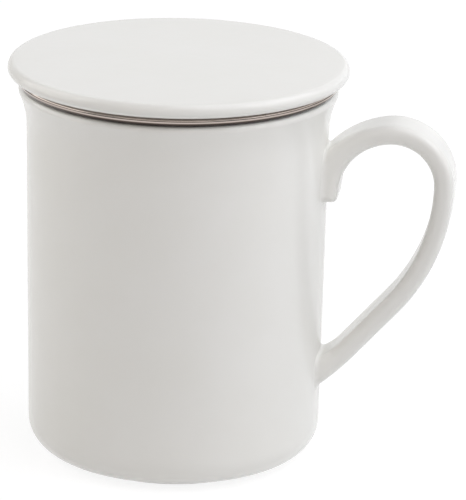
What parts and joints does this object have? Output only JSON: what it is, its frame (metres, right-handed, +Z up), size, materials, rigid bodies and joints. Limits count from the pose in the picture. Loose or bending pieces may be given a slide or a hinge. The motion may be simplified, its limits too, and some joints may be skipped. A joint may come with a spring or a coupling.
{
  "type": "lidded tea mug with infuser",
  "caption": "Flared porcelain tea mug with a strap handle, a lift-out perforated steel infuser and a loose porcelain lid that rests on the infuser's rolled rim.",
  "frame": {"origin": "centre of the foot ring, on the mug's axis, in the plane that the mug stands on", "axes": "+Z up along the mug's axis, +X towards the handle, +Y to the left of somebody who looks along +X"},
  "size_m": [0.1191, 0.0904, 0.1081],
  "materials": {
    "porcelain": "clear gloss glaze over white porcelain",
    "polished_steel": "polished stainless steel",
    "sheet_steel": "satin stainless steel sheet"
  },
  "bodies": {
    "mug": {"mug_body": "porcelain", "mug_handle": "porcelain"},
    "infuser": {"infuser_collar": "polished_steel", "infuser_sleeve": "sheet_steel", "infuser_base": "sheet_steel"},
    "lid": {"lid": "porcelain"}
  },
  "joints": [
    {"name": "infuser_lift", "type": "slide", "parent": "mug", "child": "infuser", "axis": [0, 0, 1], "range_m": [0, 0.1]},
    {"name": "lid_lift", "type": "slide", "parent": "infuser", "child": "lid", "axis": [0, 0, 1], "range_m": [0, 0.05]}
  ]
}
